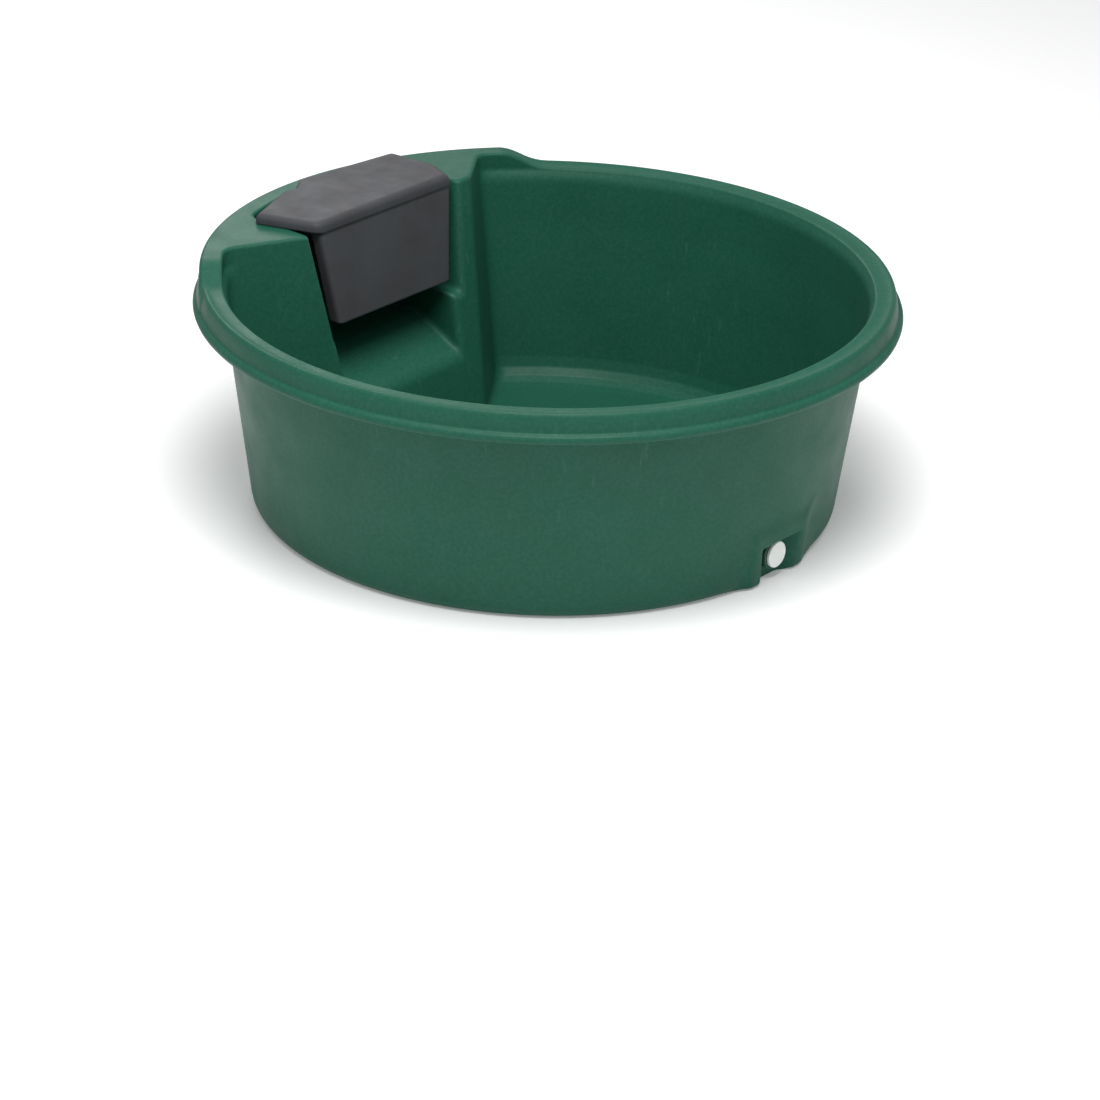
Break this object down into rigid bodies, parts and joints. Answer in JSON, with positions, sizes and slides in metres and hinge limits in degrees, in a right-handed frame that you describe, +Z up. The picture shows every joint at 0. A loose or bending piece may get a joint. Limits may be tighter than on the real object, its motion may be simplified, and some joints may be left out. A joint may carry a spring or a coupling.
{
  "type": "livestock water trough",
  "caption": "Round moulded drinking trough with a float valve kept under a lift-off cover in a bay of the rim, and a screw-out drain plug.",
  "frame": {"origin": "centre of the round base, on the ground", "axes": "+Z up; +Y towards the valve bay; -Y towards the drain; the valve axis runs along +X"},
  "size_m": [1.4, 1.4, 0.5159],
  "materials": {
    "moulded_green": "satin moulded polyethylene",
    "cover_charcoal": "satin moulded polyethylene",
    "valve_black": "glass-filled nylon",
    "float_blue": "glossy blown plastic",
    "drain_white": "smooth moulded plastic",
    "inner_white": "acetal",
    "stainless": "stainless",
    "seal_rubber": "matt rubber"
  },
  "bodies": {
    "trough": {"tub": "moulded_green", "drain_socket": "inner_white", "inlet_tail": "valve_black", "inner_seal": "seal_rubber", "outer_seal": "seal_rubber", "back_nut": "valve_black", "union_seal": "seal_rubber", "union_nut": "valve_black", "valve_body": "valve_black", "valve_seat": "inner_white", "cap_gasket": "seal_rubber", "cap_nut": "float_blue", "arm_bracket": "valve_black", "pivot_pin": "stainless"},
    "cover": {"float_cover": "cover_charcoal"},
    "float_lever": {"float_arm": "valve_black", "adjuster_screw": "stainless"},
    "adjuster_nut": {"wing_nut": "stainless"},
    "float": {"float_ball": "float_blue", "float_bolt": "stainless", "float_nut": "stainless"},
    "valve_piston": {"piston": "inner_white", "seat_washer": "seal_rubber", "piston_ring": "seal_rubber"},
    "pilot": {"pilot_plunger": "inner_white"},
    "bleed": {"bleed_screw": "valve_black"},
    "plug_travel": {"drain_seal": "seal_rubber"},
    "plug": {"drain_plug": "drain_white"}
  },
  "joints": [
    {"name": "cover_lift", "type": "slide", "parent": "trough", "child": "cover", "axis": [0, 0, 1], "range_m": [0, 0.28]},
    {"name": "float_swing", "type": "hinge", "parent": "trough", "child": "float_lever", "pos_m": [-0.0773, 0.515, 0.4282], "axis": [0, -1, 0], "range_deg": [0, 50]},
    {"name": "float_tilt", "type": "hinge", "parent": "float_lever", "child": "float", "pos_m": [-0.03834, 0.515, 0.37555], "axis": [0, -1, 0], "range_deg": [-20, 20]},
    {"name": "wing_nut_turn", "type": "hinge", "parent": "float_lever", "child": "adjuster_nut", "pos_m": [-0.06867, 0.515, 0.41654], "axis": [0.8039, 0, 0.5948], "continuous": true},
    {"name": "piston_slide", "type": "slide", "parent": "trough", "child": "valve_piston", "axis": [-1, 0, 0], "range_m": [0, 0.005]},
    {"name": "pilot_slide", "type": "slide", "parent": "trough", "child": "pilot", "axis": [-1, 0, 0], "range_m": [0, 0.0022]},
    {"name": "bleed_turn", "type": "hinge", "parent": "trough", "child": "bleed", "pos_m": [-0.1331, 0.515, 0.4548], "axis": [0, 0, 1], "range_deg": [0, 90]},
    {"name": "plug_out", "type": "slide", "parent": "trough", "child": "plug_travel", "axis": [0, -1, 0], "range_m": [0, 0.0165]},
    {"name": "plug_turn", "type": "hinge", "parent": "plug_travel", "child": "plug", "pos_m": [0, -0.58, 0.0504], "axis": [0, -1, 0], "range_deg": [0, 2520]}
  ],
  "couplings": [
    {"joint": "piston_slide", "follows": "float_swing", "m_per_rad": 0.0055},
    {"joint": "pilot_slide", "follows": "float_swing", "m_per_rad": 0.0022},
    {"joint": "plug_out", "follows": "plug_turn", "m_per_rad": 0.000368}
  ]
}
